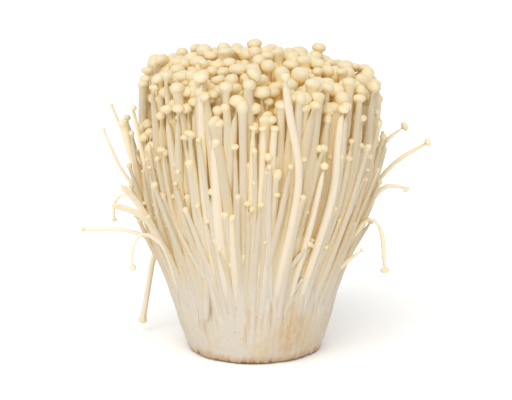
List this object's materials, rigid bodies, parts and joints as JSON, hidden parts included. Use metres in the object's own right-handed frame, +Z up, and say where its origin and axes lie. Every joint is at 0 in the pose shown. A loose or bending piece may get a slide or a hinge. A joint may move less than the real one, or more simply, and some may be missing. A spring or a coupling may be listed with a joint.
{
  "type": "enoki mushroom bunch",
  "caption": "Upright bunch of long thin pale enoki mushrooms with small round caps, grown together at a ribbed butt cut flat to stand on; stray stems splay from its sides.",
  "frame": {"origin": "centre of the cut face that the bunch stands on", "axes": "+Z up along the stems, -Y towards the front of the bunch, +X to the right of someone facing the front"},
  "size_m": [0.1593, 0.1018, 0.1392],
  "materials": {
    "butt": "matt, dry",
    "tuft": "satin, moist",
    "stray_mushroom": "satin, moist",
    "front_mushroom": "satin, moist"
  },
  "bodies": {
    "root": {"butt": "butt", "tuft_centre": "tuft", "tuft_inner_1": "tuft", "tuft_inner_2": "tuft", "tuft_inner_3": "tuft", "tuft_inner_4": "tuft", "tuft_inner_5": "tuft", "tuft_inner_6": "tuft", "tuft_middle_1": "tuft", "tuft_middle_2": "tuft", "tuft_middle_3": "tuft", "tuft_middle_4": "tuft", "tuft_middle_5": "tuft", "tuft_middle_6": "tuft", "tuft_middle_7": "tuft", "tuft_middle_8": "tuft", "tuft_middle_9": "tuft", "tuft_middle_10": "tuft", "tuft_middle_11": "tuft", "tuft_middle_12": "tuft", "tuft_outer_1": "tuft", "tuft_outer_2": "tuft", "tuft_outer_3": "tuft", "tuft_outer_4": "tuft", "tuft_outer_5": "tuft", "tuft_outer_6": "tuft", "tuft_outer_7": "tuft", "tuft_outer_8": "tuft", "tuft_outer_9": "tuft", "tuft_outer_10": "tuft", "tuft_outer_11": "tuft", "tuft_outer_12": "tuft", "tuft_outer_13": "tuft", "tuft_outer_14": "tuft", "tuft_outer_15": "tuft", "tuft_outer_16": "tuft", "tuft_outer_17": "tuft", "tuft_outer_18": "tuft", "stray_left_bowed": "stray_mushroom", "stray_left_thin": "stray_mushroom", "stray_left_funnel": "stray_mushroom", "stray_left_upper": "stray_mushroom", "stray_left_peeled": "stray_mushroom", "stray_left_splayed": "stray_mushroom", "stray_left_level": "stray_mushroom", "stray_left_hooked": "stray_mushroom", "stray_left_drooped": "stray_mushroom", "stray_left_hanging": "stray_mushroom", "stray_right_high": "stray_mushroom", "stray_right_far": "stray_mushroom", "stray_right_arched": "stray_mushroom", "stray_right_drooped": "stray_mushroom", "stray_right_low": "stray_mushroom", "front_tall_left": "front_mushroom", "front_funnel": "front_mushroom", "front_trio": "front_mushroom", "front_twisted": "front_mushroom", "front_flame": "front_mushroom", "front_leaning": "front_mushroom", "front_short": "front_mushroom"}
  },
  "joints": []
}
